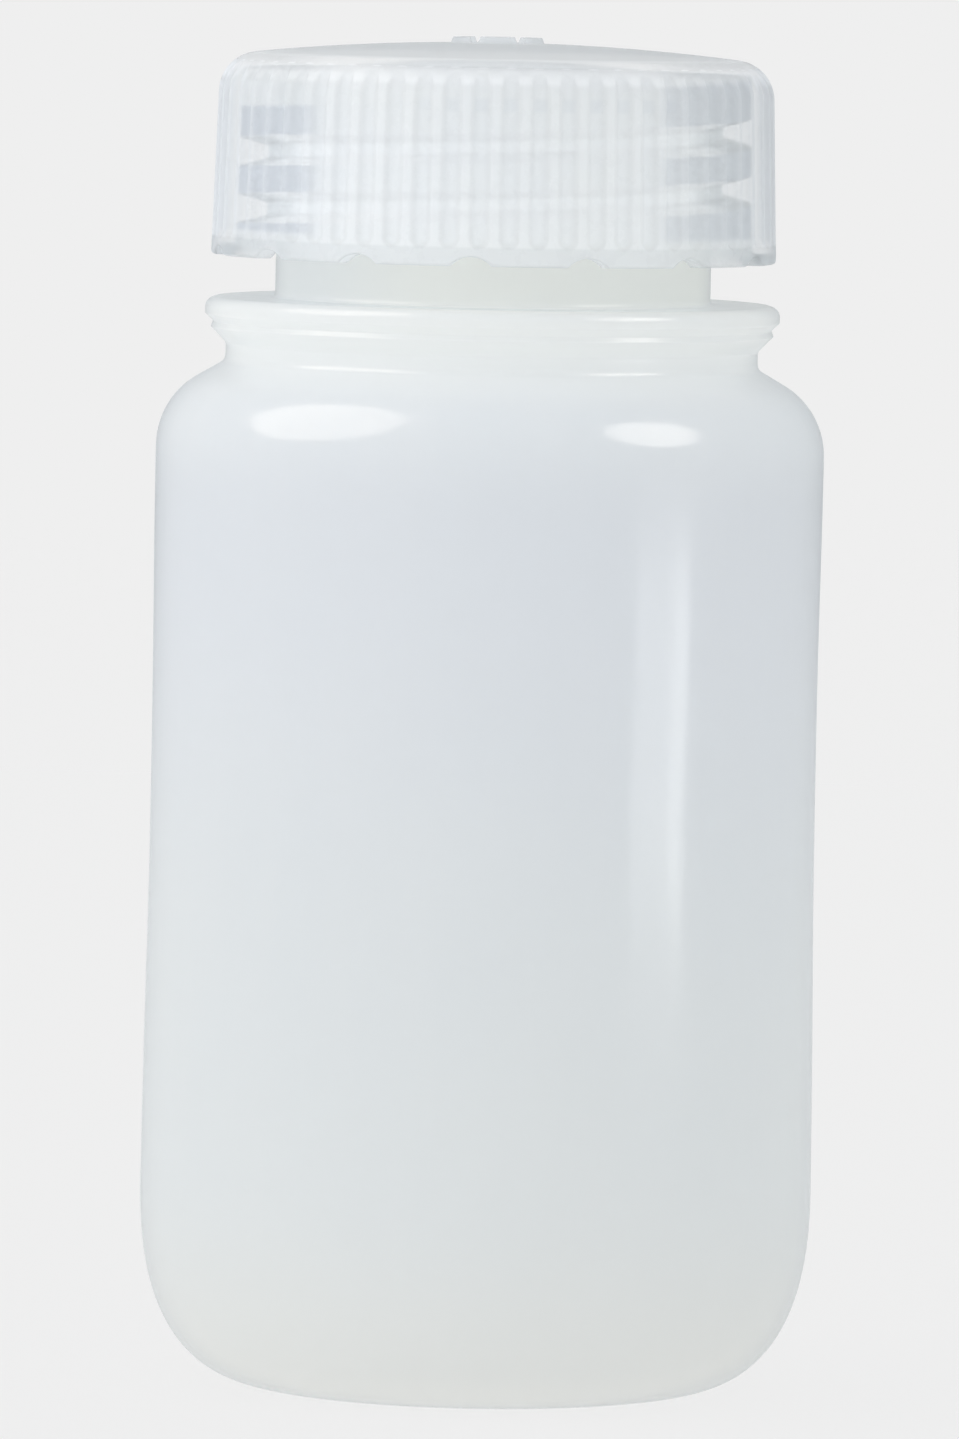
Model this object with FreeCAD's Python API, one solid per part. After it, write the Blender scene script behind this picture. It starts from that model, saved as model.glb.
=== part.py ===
import FreeCAD, Part

import math
import os

from FreeCAD import Vector

# Wide-mouth laboratory reagent bottle, nominal 125 mL, with a ribbed screw
# closure and a sealing liner.  Millimetres, +Z up.  The origin is the centre
# of the resting ring on the bench, and -Y is the front.
#
# Pieces:
#   bottle     one-piece moulded shell: push-up base, superelliptical heel,
#              slightly waisted body, conical shoulder, groove, flange,
#              neck and external thread
#   screw_cap  one-piece moulded closure: grip ribs, plain lower band with
#              arched notches, internal thread, domed top with a raised ring
#   cap_liner  loose sealing disc inside the top of the cap
#
# Profiles are drawn as (radius, height) points and revolved about Z.

# ---------------------------------------------------------- bottle dimensions
# Base and resting ring
REST_INNER_R = 12.9
REST_OUTER_R = 14.53
PUSH_UP = 1.5                # height of the concave base at the centre
# (radius, fraction of the push-up)
BASE_PROFILE = [(0, 1.0), (4.0, 0.94), (8.0, 0.70), (10.8, 0.34),
                (12.2, 0.08), (REST_INNER_R, 0)]

# Heel: a quarter superellipse from the resting ring up to the body
HEEL_WIDTH = 10.45
HEEL_HEIGHT = 14.96
HEEL_EXPONENT = 2.46
HEEL_IN_EXPONENT = 2.60
HEEL_ANGLES = [0, 7, 16, 27, 38, 49, 60, 70, 80, 90]

# Body, slightly waisted: (radius, height)
BODY = [(24.96, 19.0), (24.88, 25.0), (24.77, 35.0), (24.70, 47.0),
        (24.76, 58.0), (24.83, 65.5)]

# Shoulder: an arc from the body, then a straight cone
SHOULDER_R = 6.06
SHOULDER_CENTRE = (18.77, 69.79)
CONE_SLOPE = math.radians(30.0)      # below horizontal

# Groove, flange and neck
GROOVE_R = 19.76
GROOVE_Z = 76.22             # corner between groove and cone
FLANGE_LOW_Z = 77.50         # corner between groove and flange underside
FLANGE_R = 21.31             # main lip of the flange
FLANGE_Z = 80.95             # flat top of the flange
# Lower lip and step up to the main lip: (radius, height, fillet radius)
FLANGE_LIPS = [(20.88, 78.68, 0.14), (20.70, 79.10, 0.10), (FLANGE_R, 79.66, 0.22)]
NECK_R = 16.15
BORE_R = 14.95
RIM_Z = 97.00                # sealing rim
RIM_FILLET = 0.38

# Walls
SHOULDER_WALL = 1.25
BODY_WALL = 1.15
BASE_WALL = 1.50
THICKEN_Z = 55.0             # the body wall thickens above this height
THICKEN_RATE = 0.02 / 3.0    # added wall per millimetre of height
FLOOR_R = 13.30              # inner edge of the inside heel
FLOOR_Z = 0.25 + BASE_WALL   # its height
FLANGE_IN_R = 18.50          # inside radius behind the groove and flange
FLANGE_IN_Z = 79.55          # underside of the step behind the flange

# ------------------------------------------------------------- cap dimensions
CAP_Z = 84.10                # lower edge
CAP_LOW_R = 20.98            # over the ribs at the lower edge
CAP_HIGH_R = 20.62           # over the ribs at CAP_HIGH_Z
CAP_HIGH_Z = 96.15
CAP_CORNER_R = 3.00          # rounding from the skirt to the top
CAP_EDGE_FILLET = 0.15       # outer lower edge
CAP_IN_LOW_R = 19.25         # inside of the skirt at its lower edge
CAP_IN_HIGH_R = 18.95        # inside of the skirt at the ceiling
CEILING_Z = 98.00            # flat seat for the liner
CEILING_FILLET = 0.25
# Domes: (height at the edge, edge radius, rise from the edge to the axis)
TOP_DOME = (99.14, 17.70, 0.97)
HOLLOW_DOME = (CEILING_Z, 13.80, 0.75)   # hollow inside the seat
DOME_FLAT_R = 1.6            # both domes end in a small flat round the axis

RIBS = 60
RIB_DEPTH = 0.46
VALLEY_R = 0.78              # radius of the round valley between two ribs
VALLEY_FADE = 0.55           # how fast the valleys run out over the corner
VALLEY_BEND = 88.0           # sweep of the valley over the corner, degrees
RIB_Z = 85.60                # lower end of the ribs

NOTCHES = 15
NOTCH_WIDTH = 3.0
NOTCH_HEIGHT = 0.70
NOTCH_START = -90.0 + 19.4   # angle of the first notch, degrees

RING_INNER_R = 2.60
RING_OUTER_R = 3.40
RING_HEIGHT = 0.42
RING_GAP = 0.7               # gap between the arcs of the ring
GATE_R = 0.90                # moulding gate
GATE_HEIGHT = 0.12
MARK_SINK = 0.3              # depth of the ring and the gate in the top

# ---------------------------------------------------------- thread dimensions
# Right hand, six turns per inch; angles in degrees
PITCH = 25.4 / 6.0
THREAD_STEP = 8.0            # angle between sections
RUN_OUT = 28.0               # angle over which a thread end fades out
THREAD_CHAMFER = 0.22
CAP_THREAD_Z = 85.33         # centre of the cap thread extended to angle zero
NECK_THREAD_Z = CAP_THREAD_Z + 1.24
NECK_THREAD = dict(zero_z=NECK_THREAD_Z, start=28.0, end=748.0,
                   root_r=NECK_R - 0.45, crest_r=17.80, sunk_r=NECK_R - 0.20,
                   root_width=1.75, crest_width=0.70)
CAP_THREAD = dict(zero_z=CAP_THREAD_Z, start=100.0, end=868.0,
                  root_r=CAP_IN_LOW_R + 0.35, crest_r=16.90, sunk_r=CAP_IN_HIGH_R + 0.28,
                  root_width=2.30, crest_width=0.90)

# ----------------------------------------------------------- liner dimensions
LINER_R = 18.65
LINER_GAP = 0.05             # free play above and below the liner
LINER_CHAMFER = 0.12         # lower edge; the upper one is twice as large


# ------------------------------------------------------------ profile helpers
def pt(r, z):
    return Vector(r, 0, z)


def line(a, b):
    return Part.makeLine(pt(*a), pt(*b))


def arc(a, middle, b):
    return Part.Arc(pt(*a), pt(*middle), pt(*b)).toShape()


def on_circle(centre, radius, angle):
    """Profile point on a circle, at an angle in radians above horizontal."""
    return (centre[0] + radius * math.cos(angle),
            centre[1] + radius * math.sin(angle))


def smooth_curve(points, start, end):
    """Curve through the points with the given end tangents."""
    curve = Part.BSplineCurve()
    curve.interpolate(Points=[pt(*p) for p in points],
                      InitialTangent=pt(*start), FinalTangent=pt(*end))
    return curve


def arc_along(start, end, tangent):
    """Arc that leaves start along the unit tangent, or a line if almost straight."""
    chord = end - start
    length = chord.Length
    normal = Vector(-chord.z, 0, chord.x) * (1.0 / length)
    if normal.dot(tangent) < 0:
        normal = normal * -1.0
    turn = math.atan2(normal.dot(tangent), chord.dot(tangent) / length)
    sag = 0.5 * length * math.tan(0.5 * turn)
    if sag < 0.01:
        return Part.makeLine(start, end)
    return Part.Arc(start, (start + end) * 0.5 + normal * sag, end).toShape()


def tangent_arcs(points, start, end, cuts):
    """Edges of the smooth curve through the points, as pairs of arcs.

    The pairs join, in tangency, at the points whose numbers are in cuts."""
    curve = smooth_curve(points, start, end)
    stations = []
    for i in cuts:
        point = pt(*points[i])
        stations.append((point, curve.tangent(curve.parameter(point))[0]))
    edges = []
    for (p0, t0), (p1, t1) in zip(stations, stations[1:]):
        # equal tangent lengths at both ends fix the joint of the two arcs
        chord = p1 - p0
        along = chord.dot(t0 + t1)
        square = chord.dot(chord)
        bend = 2.0 * (1.0 - t0.dot(t1))
        if bend < 1e-9:
            reach = square / (2.0 * along)
        else:
            reach = (math.sqrt(along * along + bend * square) - along) / bend
        joint = (p0 + p1 + (t0 - t1) * reach) * 0.5
        edges.append(arc_along(p0, joint, t0))
        edges.append(arc_along(p1, joint, t1 * -1.0))
    return edges


def rounded(vertices):
    """Edges of an open polyline whose inner vertices are (r, z, fillet radius)."""
    edges = []
    last = pt(*vertices[0])
    for before, (r, z, radius), after in zip(vertices, vertices[1:], vertices[2:]):
        corner = pt(r, z)
        back = (pt(*before[:2]) - corner).normalize()
        ahead = (pt(*after[:2]) - corner).normalize()
        half = 0.5 * math.acos(max(-1.0, min(1.0, back.dot(ahead))))
        trim = radius / math.tan(half)
        bisector = (back + ahead).normalize()
        first = corner + back * trim
        middle = corner + bisector * (radius / math.sin(half) - radius)
        edges.append(Part.makeLine(last, first))
        last = corner + ahead * trim
        edges.append(Part.Arc(first, middle, last).toShape())
    edges.append(Part.makeLine(last, pt(*vertices[-1])))
    return edges


def polygon(points):
    """Edges of a closed polygon."""
    return [line(a, b) for a, b in zip(points, points[1:] + points[:1])]


def superellipse(base_r, base_z, width, height, exponent):
    """Quarter superellipse, from its lowest point to its widest."""
    power = 2.0 / exponent
    points = []
    for degrees in HEEL_ANGLES:
        angle = math.radians(degrees)
        points.append((base_r + width * math.sin(angle) ** power,
                       base_z + height * (1.0 - math.cos(angle) ** power)))
    return points


# -------------------------------------------------------------- solid helpers
def revolve(edges):
    wire = Part.Wire(Part.__sortEdges__(edges))
    solid = Part.Face(wire).revolve(Vector(0, 0, 0), Vector(0, 0, 1), 360).Solids[0]
    if solid.Volume < 0:
        solid.reverse()
    return solid


def turned_copies(shape, count, start, step):
    """Copies of a shape turned about Z, by angles in degrees."""
    copies = []
    for i in range(count):
        turned = shape.copy()
        turned.rotate(Vector(0, 0, 0), Vector(0, 0, 1), start + step * i)
        copies.append(turned)
    return copies


def one_solid(shape):
    """The largest solid of a shape, with split faces merged."""
    return max(shape.removeSplitter().Solids, key=lambda solid: solid.Volume)


def thread(zero_z, start, end, root_r, crest_r, sunk_r, root_width, crest_width):
    """A helical thread with a chamfered trapezoid section.

    The crest fades into the wall at both ends, where its radius is sunk_r."""
    outward = 1.0 if crest_r > root_r else -1.0
    steps = int(round((end - start) / THREAD_STEP))
    rows = [[] for _ in range(6)]
    for i in range(steps + 1):
        degrees = start + (end - start) * i / steps
        fade = min(1.0, (degrees - start) / RUN_OUT, (end - degrees) / RUN_OUT)
        fade = fade * fade * (3.0 - 2.0 * fade)
        tip_r = sunk_r + fade * (crest_r - sunk_r)
        side_r = tip_r - outward * THREAD_CHAMFER
        half_crest = crest_width * (0.55 + 0.45 * fade) / 2
        half_root = root_width * (0.72 + 0.28 * fade) / 2
        half_side = half_crest + THREAD_CHAMFER * 0.45
        half_tip = half_crest - THREAD_CHAMFER * 0.6
        section = [(root_r, -half_root), (side_r, -half_side), (tip_r, -half_tip),
                   (tip_r, half_tip), (side_r, half_side), (root_r, half_root)]
        z = zero_z + PITCH * degrees / 360.0
        angle = math.radians(degrees)
        for row, (r, dz) in zip(rows, section):
            row.append(Vector(r * math.cos(angle), r * math.sin(angle), z + dz))
    curves = []
    for row in rows:
        curve = Part.BSplineCurve()
        curve.interpolate(Points=row)
        curves.append(curve.toShape())
    faces = [Part.makeRuledSurface(curves[k], curves[(k + 1) % 6]) for k in range(6)]
    for i in (0, -1):
        outline = [row[i] for row in rows]
        faces.append(Part.Face(Part.makePolygon(outline + [outline[0]])))
    shell = Part.Shell(faces)
    if not shell.isClosed():
        shell.sewShape()
    solid = Part.Solid(shell)
    if solid.Volume < 0:
        solid.reverse()
    return solid


# --------------------------------------------------------------------- bottle
def shoulder_points(radius):
    """Body end, middle and cone end of a shoulder arc."""
    sweep = math.pi / 2 - CONE_SLOPE
    return [on_circle(SHOULDER_CENTRE, radius, angle) for angle in (0, sweep / 2, sweep)]


def outer_body():
    """Concave base, resting ring, heel and body, from the axis upward."""
    base = [(r, PUSH_UP * part) for r, part in BASE_PROFILE]
    edges = [smooth_curve(base, (4.0, 0), (1.0, 0)).toShape(),
             line((REST_INNER_R, 0), (REST_OUTER_R, 0))]
    heel = superellipse(REST_OUTER_R, 0, HEEL_WIDTH, HEEL_HEIGHT, HEEL_EXPONENT)
    points = heel + BODY + [shoulder_points(SHOULDER_R)[0]]
    return edges + tangent_arcs(points, (3.0, 0), (0, 3.0), [0, *range(1, 16, 2), 16])


def inner_body():
    """Inside of the body, heel and base, from the shoulder down to the axis."""
    body = [(r - BODY_WALL - THICKEN_RATE * max(0.0, z - THICKEN_Z), z)
            for r, z in reversed(BODY)]
    heel = superellipse(FLOOR_R, FLOOR_Z,
                        REST_OUTER_R + HEEL_WIDTH - BODY_WALL - FLOOR_R,
                        HEEL_HEIGHT - FLOOR_Z, HEEL_IN_EXPONENT)
    points = [shoulder_points(SHOULDER_R - SHOULDER_WALL)[0]] + body + heel[::-1]
    edges = tangent_arcs(points, (0, -3.0), (-3.0, 0), [0, *range(3, 16, 2), 16])
    centre_z = PUSH_UP + BASE_WALL
    floor = [(FLOOR_R, FLOOR_Z), (10.6, FLOOR_Z + 0.32), (6.5, centre_z - 0.28),
             (0, centre_z)]
    edges.append(smooth_curve(floor, (-2.0, 0), (-4.0, 0)).toShape())
    return edges


def make_bottle():
    body_out, middle_out, cone_out = shoulder_points(SHOULDER_R)
    body_in, middle_in, cone_in = shoulder_points(SHOULDER_R - SHOULDER_WALL)
    # height at which the inner cone meets the wall behind the groove
    corner_in_z = cone_in[1] + (cone_in[0] - FLANGE_IN_R) * math.tan(CONE_SLOPE)

    edges = outer_body()
    edges.append(arc(body_out, middle_out, cone_out))
    # up over the outside of the neck and back down the inside
    edges += rounded([
        cone_out,
        (GROOVE_R, GROOVE_Z, 0.70),
        (GROOVE_R, FLANGE_LOW_Z, 0.40),
        *FLANGE_LIPS,
        (FLANGE_R, FLANGE_Z, 0.85),
        (NECK_R, FLANGE_Z, 0.40),
        (NECK_R, RIM_Z, RIM_FILLET),
        (BORE_R, RIM_Z, RIM_FILLET),
        (BORE_R, FLANGE_IN_Z, 1.10),
        (FLANGE_IN_R, FLANGE_IN_Z, 0.90),
        (FLANGE_IN_R, corner_in_z, 1.60),
        cone_in])
    edges.append(arc(cone_in, middle_in, body_in))
    edges += inner_body()
    edges.append(line((0, PUSH_UP + BASE_WALL), (0, PUSH_UP)))
    return one_solid(revolve(edges).fuse(thread(**NECK_THREAD)))


# ------------------------------------------------------------------ screw cap
def cap_outer_r(z):
    """Radius over the ribs on the draughted skirt."""
    return CAP_LOW_R + (CAP_HIGH_R - CAP_LOW_R) * (z - CAP_Z) / (CAP_HIGH_Z - CAP_Z)


def dome_sphere(edge_z, edge_r, rise):
    """Centre height and radius of the sphere that forms a dome."""
    radius = (edge_r * edge_r + rise * rise) / (2.0 * rise)
    return edge_z + rise - radius, radius


def dome_z(r, dome):
    centre_z, radius = dome_sphere(*dome)
    return centre_z + math.sqrt(radius * radius - r * r)


def top_corner():
    """Start, middle and end of the arc from the skirt to the domed top."""
    sphere_z, sphere_r = dome_sphere(*TOP_DOME)
    lean = math.atan2(CAP_LOW_R - CAP_HIGH_R, CAP_HIGH_Z - CAP_Z)
    # settle on the centre that lies CAP_CORNER_R inside both skirt and dome
    z = CAP_HIGH_Z
    for _ in range(40):
        r = cap_outer_r(z) - CAP_CORNER_R / math.cos(lean)
        z = sphere_z + math.sqrt((sphere_r - CAP_CORNER_R) ** 2 - r * r)
    top = math.atan2(z - sphere_z, r)
    return [on_circle((r, z), CAP_CORNER_R, angle)
            for angle in (lean, 0.5 * (lean + top), top)]


def cap_shell():
    """Draughted skirt, rounded corner, domed top, and the liner seat inside."""
    start, middle, end = top_corner()
    top_flat = (DOME_FLAT_R, dome_z(DOME_FLAT_R, TOP_DOME))
    hollow_flat = (DOME_FLAT_R, dome_z(DOME_FLAT_R, HOLLOW_DOME))
    top_middle_r = 0.5 * TOP_DOME[1]
    seat_r = HOLLOW_DOME[1]
    seat_edge = (seat_r, CEILING_Z)

    edges = rounded([(CAP_IN_LOW_R, CAP_Z), (CAP_LOW_R, CAP_Z, CAP_EDGE_FILLET), start])
    edges.append(arc(start, middle, end))
    edges.append(arc(end, (top_middle_r, dome_z(top_middle_r, TOP_DOME)), top_flat))
    edges.append(line(top_flat, (0, top_flat[1])))
    edges.append(line((0, top_flat[1]), (0, hollow_flat[1])))
    edges.append(line((0, hollow_flat[1]), hollow_flat))
    edges.append(arc(hollow_flat, (0.5 * seat_r, dome_z(0.5 * seat_r, HOLLOW_DOME)),
                     seat_edge))
    edges += rounded([seat_edge, (CAP_IN_HIGH_R, CEILING_Z, CEILING_FILLET),
                      (CAP_IN_LOW_R, CAP_Z)])
    return revolve(edges)


def valley_cutter():
    """Round valley between two ribs, at angle zero.

    A ball at the lower end, a straight run along the draughted skirt, and an
    arc that climbs over the rounded corner and leaves its surface."""
    offset = VALLEY_R - RIB_DEPTH
    low_z = RIB_Z + VALLEY_R * 0.7
    low = pt(cap_outer_r(low_z) + offset, low_z)
    high = pt(cap_outer_r(CAP_HIGH_Z) + offset, CAP_HIGH_Z)
    run = high - low
    along = Vector(run).normalize()
    straight = Part.makeCylinder(VALLEY_R, run.Length, low, along)
    ball = Part.makeSphere(VALLEY_R, low)
    inward = Vector(-along.z, 0, along.x)
    centre = high + inward * (CAP_CORNER_R + offset + VALLEY_FADE)
    disc = Part.Face(Part.Wire([Part.makeCircle(VALLEY_R, high, along)]))
    bend = disc.revolve(centre, Vector(0, -1, 0), VALLEY_BEND).Solids[0]
    return straight.fuse([ball, bend]).removeSplitter().Solids[0]


def notch_cutters():
    """Arched notches: radial cylinders trimmed to a band round the lower edge."""
    radius = (NOTCH_WIDTH ** 2 / 4 + NOTCH_HEIGHT ** 2) / (2 * NOTCH_HEIGHT)
    notch = Part.makeCylinder(radius, 6.0, pt(17.5, CAP_Z + NOTCH_HEIGHT - radius),
                              Vector(1, 0, 0))
    inner_r, outer_r = 17.0, 22.0
    low_z, high_z = CAP_Z - 0.5, CAP_Z + 1.0
    band = revolve(polygon([(inner_r, low_z), (outer_r, low_z),
                            (outer_r, high_z), (inner_r, high_z)]))
    return [turned.common(band)
            for turned in turned_copies(notch, NOTCHES, NOTCH_START, 360.0 / NOTCHES)]


def top_ring():
    """Raised ring in six arcs, following the dome."""
    outer_z = dome_z(RING_OUTER_R, TOP_DOME)
    inner_z = dome_z(RING_INNER_R, TOP_DOME)
    ring = revolve(polygon([(RING_INNER_R, outer_z - MARK_SINK),
                            (RING_OUTER_R, outer_z - MARK_SINK),
                            (RING_OUTER_R, outer_z + RING_HEIGHT),
                            (RING_INNER_R, inner_z + RING_HEIGHT)]))
    reach = RING_OUTER_R + 1
    bar = Part.makeBox(2 * reach, RING_GAP, 3.0,
                       Vector(-reach, -RING_GAP / 2, outer_z - 2 * MARK_SINK))
    # each bar crosses the ring twice
    return ring.cut(turned_copies(bar, 3, 0.0, 60.0))


def make_cap():
    body = cap_shell()
    rib_step = 360.0 / RIBS
    body = body.cut(turned_copies(valley_cutter(), RIBS, rib_step / 2, rib_step))
    body = body.cut(notch_cutters())
    gate = Part.makeCone(GATE_R, GATE_R * 0.7, GATE_HEIGHT + MARK_SINK,
                         pt(0, dome_z(DOME_FLAT_R, TOP_DOME) - MARK_SINK))
    return one_solid(body.fuse([thread(**CAP_THREAD), top_ring(), gate]))


# ---------------------------------------------------------------------- liner
def make_liner():
    low_z = RIM_Z + LINER_GAP
    high_z = CEILING_Z - LINER_GAP
    top_chamfer = 2 * LINER_CHAMFER
    return one_solid(revolve(polygon([
        (0, low_z),
        (LINER_R - LINER_CHAMFER, low_z),
        (LINER_R, low_z + LINER_CHAMFER),
        (LINER_R, high_z - top_chamfer),
        (LINER_R - top_chamfer, high_z),
        (0, high_z)])))


os.makedirs("parts", exist_ok=True)
for name, make in (("bottle", make_bottle), ("screw_cap", make_cap),
                   ("cap_liner", make_liner)):
    make().exportStep("parts/%s.step" % name)
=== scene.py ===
"""Wide-mouth reagent bottle: a milky bottle, a clear ribbed screw cap and a foam
liner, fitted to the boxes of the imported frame.

The bottle stands on z = 0 with its axis on z.  The camera looks from -y, so +x
is to its right.  Mesh code works in millimetres, shaders and staging in metres.
"""

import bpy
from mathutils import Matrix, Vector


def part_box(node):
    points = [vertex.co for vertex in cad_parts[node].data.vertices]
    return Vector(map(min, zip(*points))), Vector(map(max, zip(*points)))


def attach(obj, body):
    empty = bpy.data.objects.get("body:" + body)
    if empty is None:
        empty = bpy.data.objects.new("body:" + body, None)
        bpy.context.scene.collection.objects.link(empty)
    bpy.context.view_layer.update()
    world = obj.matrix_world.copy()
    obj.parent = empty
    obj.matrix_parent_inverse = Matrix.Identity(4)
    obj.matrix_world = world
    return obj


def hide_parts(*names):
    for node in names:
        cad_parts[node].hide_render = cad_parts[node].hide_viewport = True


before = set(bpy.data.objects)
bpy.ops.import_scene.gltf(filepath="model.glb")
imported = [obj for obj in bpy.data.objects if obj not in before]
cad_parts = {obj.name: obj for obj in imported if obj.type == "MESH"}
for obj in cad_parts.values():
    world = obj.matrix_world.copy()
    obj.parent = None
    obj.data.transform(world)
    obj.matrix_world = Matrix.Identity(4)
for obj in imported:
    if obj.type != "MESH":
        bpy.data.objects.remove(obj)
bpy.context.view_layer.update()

import itertools
import math

import bpy
import bmesh
import numpy as np
from mathutils import Quaternion, Vector

MM = 0.001
TAU = 2.0 * math.pi

# ------------------------------------------------- places taken from the frame
bottle_low, bottle_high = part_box("bottle")
cap_low, cap_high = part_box("screw_cap")
liner_low, liner_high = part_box("cap_liner")

Z_RIM = bottle_high.z * 1000.0
Z_CAP = cap_low.z * 1000.0
Z_LINER_LOW = liner_low.z * 1000.0
Z_LINER_HIGH = liner_high.z * 1000.0
R_LINER = 0.5 * (liner_high.x - liner_low.x) * 1000.0

# Thread, shared by neck and cap.  "zero" is the height of the strand at angle 0,
# "start" and "end" are degrees along it, "base" and "crest" are widths.
PITCH = 25.4 / 6.0
CAP_ZERO = 85.33
CAP_THREAD = dict(zero=CAP_ZERO, start=100.0, end=868.0, base=2.30, crest=0.90)
NECK_THREAD = dict(zero=CAP_ZERO + 1.24, start=28.0, end=748.0, base=1.75, crest=0.70)
THREAD_FADE = 28.0      # degrees over which each end of the strand rises


# ---------------------------------------------------------------- shape tools
def smooth(x):
    x = np.clip(x, 0.0, 1.0)
    return x * x * (3.0 - 2.0 * x)


def soft_positive(x, softness):
    """x where positive and 0 elsewhere, with the corner between them softened."""
    return softness * np.log1p(np.exp(np.clip(x / softness, -30, 30)))


def sphere_radius(edge, rise):
    return (edge * edge + rise * rise) / (2.0 * rise)


def dome(r, edge, rise):
    """Height of a shallow dome at radius r above its edge."""
    big = sphere_radius(edge, rise)
    return rise - big + math.sqrt(big * big - r * r)


def strand(theta, z, zero, start, end, base, crest):
    """Thread height share 0..1 at angle theta (radians) and height z."""
    turns = (z - zero) / PITCH - theta / TAU
    best = np.zeros_like(turns)
    for shift in (0, 1):
        turn = np.floor(turns) + shift
        away = np.abs(turns - turn) * PITCH
        angle = np.degrees(theta) + 360.0 * turn
        ends = smooth(np.minimum((angle - start) / THREAD_FADE, (end - angle) / THREAD_FADE))
        height = smooth((base / 2 - away) / (base / 2 - crest / 2) * 0.92)
        best = np.maximum(best, ends * height)
    return best


def superellipse(r0, z0, width, height, power, count):
    """Quarter curve from (r0, z0), flat at first, to (r0 + width, z0 + height)."""
    points = []
    for i in range(count + 1):
        t = 0.5 * math.pi * i / count
        points.append((r0 + width * math.sin(t) ** (2.0 / power),
                       z0 + height * (1.0 - math.cos(t) ** (2.0 / power))))
    return points


def fillet(before, corner, after, radius, count):
    """Points of a fillet at a corner, from the side of before to that of after."""
    in_r, in_z = before[0] - corner[0], before[1] - corner[1]
    out_r, out_z = after[0] - corner[0], after[1] - corner[1]
    in_len, out_len = math.hypot(in_r, in_z), math.hypot(out_r, out_z)
    in_r, in_z, out_r, out_z = in_r / in_len, in_z / in_len, out_r / out_len, out_z / out_len
    half = 0.5 * math.acos(max(-1.0, min(1.0, in_r * out_r + in_z * out_z)))
    run = radius / math.tan(half)
    mid_r, mid_z = in_r + out_r, in_z + out_z
    mid_len = math.hypot(mid_r, mid_z)
    centre_r = corner[0] + mid_r / mid_len * radius / math.sin(half)
    centre_z = corner[1] + mid_z / mid_len * radius / math.sin(half)
    first = math.atan2(corner[1] + in_z * run - centre_z, corner[0] + in_r * run - centre_r)
    last = math.atan2(corner[1] + out_z * run - centre_z, corner[0] + out_r * run - centre_r)
    turn = (last - first + math.pi) % TAU - math.pi
    return [(centre_r + radius * math.cos(first + turn * i / count),
             centre_z + radius * math.sin(first + turn * i / count))
            for i in range(count + 1)]


def add_line(points, end, step):
    """Extend points to end in equal parts, as many as step fits in whole."""
    r, z = points[-1]
    count = max(1, int(math.hypot(end[0] - r, end[1] - z) / step))
    points += [(r + (end[0] - r) * i / count, z + (end[1] - z) * i / count)
               for i in range(1, count + 1)]


def rounded(vertices, step):
    """Dense points along a polyline with fillets.

    End vertices are (r, z), the others (r, z, fillet radius, fillet segments)."""
    points = [vertices[0]]
    for before, corner, after in zip(vertices, vertices[1:], vertices[2:]):
        arc = fillet(before, corner, after, corner[2], corner[3])
        add_line(points, arc[0], step)
        points += arc[1:]
    add_line(points, vertices[-1], step)
    return points


# ----------------------------------------------------------------- mesh tools
def angles(count):
    return np.arange(count) * TAU / count


def ring(theta, r, z):
    return np.stack([r * np.cos(theta), r * np.sin(theta), z + 0 * theta], 1)


def axis_point(z):
    return np.array([[0.0, 0.0, z]])


def build(name, rings):
    """Mesh object from a stack of rings, each an (n, 3) array in mm.

    Neighbouring rings have the same count, a count three times the other's,
    or a single point."""
    counts = [len(points) for points in rings]
    starts = np.cumsum([0] + counts).tolist()
    faces = []
    for a, b, count_a, count_b in zip(starts, starts[1:], counts, counts[1:]):
        if count_a == count_b:
            for j in range(count_a):
                k = (j + 1) % count_a
                faces.append((a + j, a + k, b + k, b + j))
        elif count_a == 1:
            for j in range(count_b):
                faces.append((a, b + (j + 1) % count_b, b + j))
        elif count_b == 1:
            for j in range(count_a):
                faces.append((a + j, a + (j + 1) % count_a, b))
        else:
            flip = count_b > count_a
            many, few, count = (b, a, count_a) if flip else (a, b, count_b)
            for j in range(count):
                m0, m1, m2, m3 = (many + (3 * j + i) % (3 * count) for i in range(4))
                f0, f1 = few + j, few + (j + 1) % count
                for face in ((m0, m1, f0), (m1, m2, f1, f0), (m2, m3, f1)):
                    faces.append(face[::-1] if flip else face)
    mesh = bpy.data.meshes.new(name)
    mesh.from_pydata((np.concatenate(rings) * MM).tolist(), [], faces)
    bm = bmesh.new()
    bm.from_mesh(mesh)
    bmesh.ops.recalc_face_normals(bm, faces=bm.faces)
    if bm.calc_volume(signed=True) < 0:
        bmesh.ops.reverse_faces(bm, faces=bm.faces)
    for face in bm.faces:
        face.smooth = True
    bm.to_mesh(mesh)
    bm.free()
    obj = bpy.data.objects.new(name, mesh)
    bpy.context.scene.collection.objects.link(obj)
    return obj


def float_attribute(obj, name, parts):
    attribute = obj.data.attributes.new(name, "FLOAT", "POINT")
    attribute.data.foreach_set("value", np.concatenate(parts).astype(np.float32))


# --------------------------------------------------------------------- bottle
T_BOTTLE = angles(288)

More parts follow.
